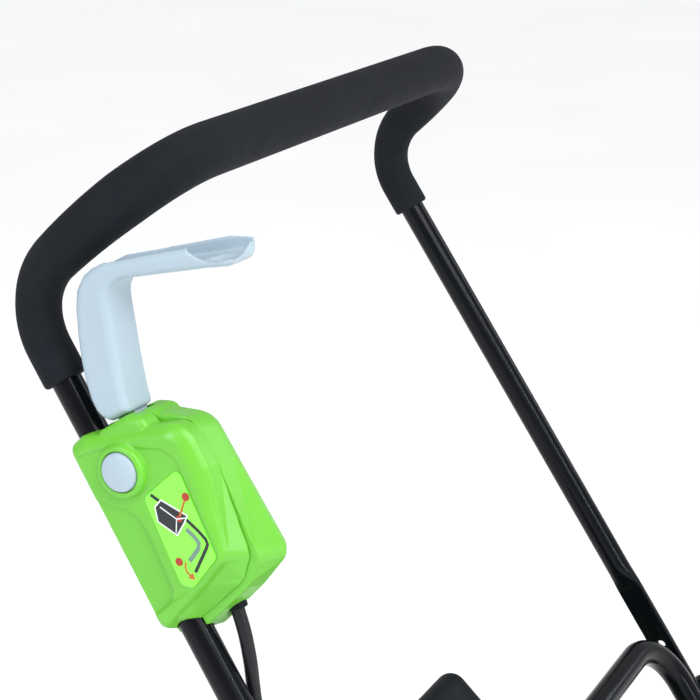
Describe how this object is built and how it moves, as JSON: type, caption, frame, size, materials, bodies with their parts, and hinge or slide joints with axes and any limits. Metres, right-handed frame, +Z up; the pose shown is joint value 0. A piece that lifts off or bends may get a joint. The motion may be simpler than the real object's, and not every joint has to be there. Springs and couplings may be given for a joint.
{
  "type": "mini cultivator",
  "caption": "Small electric garden tiller: U-shaped tube handle with foam grip and squeeze-lever switch box, folding on a lower frame over a vertical motor, worm gearbox, tines and wheels",
  "frame": {"origin": "centre of the machine's bounding box on the ground, z = 0 where wheels and tines stand", "axes": "+Z up, +Y forwards in the working direction, +X to the right of the person holding the grip; the machine is laid out symmetrically about x = 0 apart from the switch box, lever and cable on the right leg"},
  "size_m": [0.5862, 0.4155, 0.9324],
  "materials": {
    "tube_black_paint": "semi-gloss black powder coat on steel tube",
    "foam_black": "matt black closed-cell foam",
    "shell_green": "satin moulded green plastic",
    "label_print": "printed film, bright green with a black and grey pictogram",
    "lever_pale": "satin pale blue-grey moulded plastic",
    "plastic_black": "fine-textured black moulded plastic",
    "steel_zinc": "zinc-plated steel",
    "spring_wire": "drawn spring wire",
    "alloy_cast": "fine sand-blasted die casting",
    "lamination_iron": "varnished laminations",
    "rotor_metal": "ground steel shaft with varnished windings",
    "bronze_gear": "machined bronze",
    "tine_black_paint": "black stove enamel on pressed steel",
    "cable_rubber": "black rubber sheath",
    "wheel_black": "coarse black moulded plastic"
  },
  "bodies": {
    "chassis": {"lower_handle_frame": "tube_black_paint", "handle_bolt_right": "steel_zinc", "handle_bolt_left": "steel_zinc", "cable_clip_lower": "plastic_black", "motor_hood": "plastic_black", "motor_cable_gland": "plastic_black", "motor_housing": "shell_green", "hood_screw_right": "steel_zinc", "hood_screw_left": "steel_zinc", "frame_clamp_bolt_right": "steel_zinc", "frame_clamp_bolt_left": "steel_zinc", "motor_stator": "lamination_iron", "upper_motor_bearing": "alloy_cast", "lower_motor_bearing": "alloy_cast", "gearbox_half_right": "alloy_cast", "gearbox_half_left": "alloy_cast", "tine_guard": "plastic_black", "wheel_arm_bolt": "steel_zinc"},
    "upper_handle": {"upper_handle_tube": "tube_black_paint", "handle_foam_grip": "foam_black", "switch_housing_outer": "shell_green", "switch_housing_inner": "shell_green", "button_spring": "spring_wire", "lever_pivot_pin": "steel_zinc", "lever_return_spring": "spring_wire", "switch_module": "plastic_black", "instruction_label": "label_print", "mains_inlet": "plastic_black", "switch_screw_upper": "steel_zinc", "switch_screw_lower": "steel_zinc", "box_cable_gland": "plastic_black", "motor_cable": "cable_rubber", "cable_clip_upper": "plastic_black", "cable_clip_middle": "plastic_black"},
    "lever": {"switch_lever": "lever_pale"},
    "button": {"safety_button": "lever_pale"},
    "knob_right": {"handle_knob_right": "plastic_black"},
    "knob_left": {"handle_knob_left": "plastic_black"},
    "rotor": {"motor_rotor": "rotor_metal"},
    "tine_set": {"tine_axle": "steel_zinc", "worm_wheel": "bronze_gear", "inner_tine_right": "tine_black_paint", "inner_tine_left": "tine_black_paint", "outer_tine_right": "tine_black_paint", "outer_tine_left": "tine_black_paint", "tine_pin_right": "steel_zinc", "tine_pin_left": "steel_zinc"},
    "wheel_bracket": {"wheel_arm": "plastic_black", "wheel_axle": "steel_zinc", "wheel_cap_right": "steel_zinc", "wheel_cap_left": "steel_zinc"},
    "arm_knob": {"wheel_arm_knob": "plastic_black"},
    "right_wheel": {"wheel_right": "wheel_black"},
    "left_wheel": {"wheel_left": "wheel_black"}
  },
  "joints": [
    {"name": "handle_fold", "type": "hinge", "parent": "chassis", "child": "upper_handle", "pos_m": [0, 0.10602, 0.35886], "axis": [-1, 0, 0], "range_deg": [0, 90], "deforming": ["motor_cable"]},
    {"name": "lever_squeeze", "type": "hinge", "parent": "upper_handle", "child": "lever", "pos_m": [0.25582, -0.10755, 0.74862], "axis": [0.9994, -0.0196, 0.0302], "range_deg": [0, 16], "stiffness_Nm_per_rad": 0.8, "springref_deg": -20.05, "deforming": ["lever_return_spring"]},
    {"name": "button_press", "type": "slide", "parent": "upper_handle", "child": "button", "axis": [-0.9994, 0.0196, -0.0302], "range_m": [0, 0.004], "stiffness_N_per_m": 300, "springref_m": -0.004, "deforming": ["button_spring"]},
    {"name": "right_knob_turn", "type": "hinge", "parent": "chassis", "child": "knob_right", "pos_m": [0.27178, 0.10602, 0.35886], "axis": [1, 0, 0], "continuous": true},
    {"name": "left_knob_turn", "type": "hinge", "parent": "chassis", "child": "knob_left", "pos_m": [-0.27178, 0.10602, 0.35886], "axis": [1, 0, 0], "continuous": true},
    {"name": "tine_spin", "type": "hinge", "parent": "chassis", "child": "tine_set", "pos_m": [0, 0.0733, 0.1], "axis": [1, 0, 0], "continuous": true},
    {"name": "rotor_spin", "type": "hinge", "parent": "chassis", "child": "rotor", "pos_m": [0, 0.0353, 0.1], "axis": [0, 0, 1], "continuous": true},
    {"name": "arm_swing", "type": "hinge", "parent": "chassis", "child": "wheel_bracket", "pos_m": [0, -0.0787, 0.238], "axis": [-1, 0, 0], "range_deg": [0, 60]},
    {"name": "arm_knob_turn", "type": "hinge", "parent": "chassis", "child": "arm_knob", "pos_m": [0.018, -0.0787, 0.238], "axis": [1, 0, 0], "continuous": true},
    {"name": "right_wheel_spin", "type": "hinge", "parent": "wheel_bracket", "child": "right_wheel", "pos_m": [0.108, -0.1377, 0.07], "axis": [1, 0, 0], "continuous": true},
    {"name": "left_wheel_spin", "type": "hinge", "parent": "wheel_bracket", "child": "left_wheel", "pos_m": [-0.108, -0.1377, 0.07], "axis": [1, 0, 0], "continuous": true}
  ],
  "couplings": [
    {"joint": "rotor_spin", "follows": "tine_spin", "ratio": 16}
  ]
}
